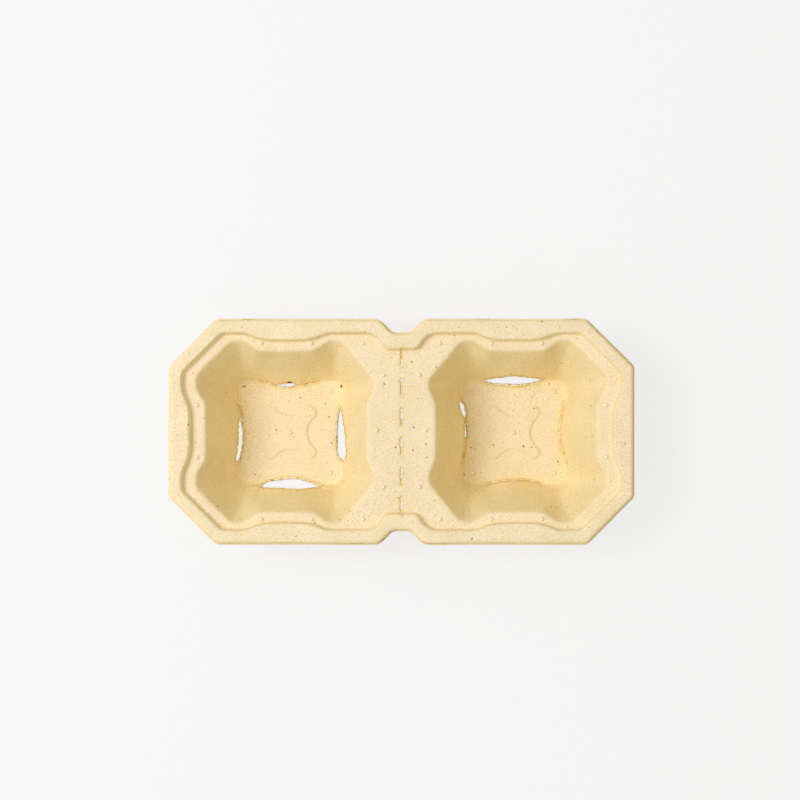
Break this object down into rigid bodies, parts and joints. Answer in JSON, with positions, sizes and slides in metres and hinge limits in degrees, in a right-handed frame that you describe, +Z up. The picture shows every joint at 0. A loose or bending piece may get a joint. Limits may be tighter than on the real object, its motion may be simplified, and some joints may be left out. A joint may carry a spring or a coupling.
{
  "type": "cup carrier",
  "caption": "Moulded-pulp carrier for two cups, with a down-turned edge, tapered wells, slit floors and a perforated bridge.",
  "frame": {"origin": "middle of the surface that the carrier stands on, under the bridge between its two wells", "axes": "+X along the length, from one well to the other; +Y across the width; +Z up"},
  "size_m": [0.215, 0.1044, 0.045],
  "materials": {
    "pulp": "matte"
  },
  "bodies": {
    "root": {"carrier_tray": "pulp"}
  },
  "joints": []
}
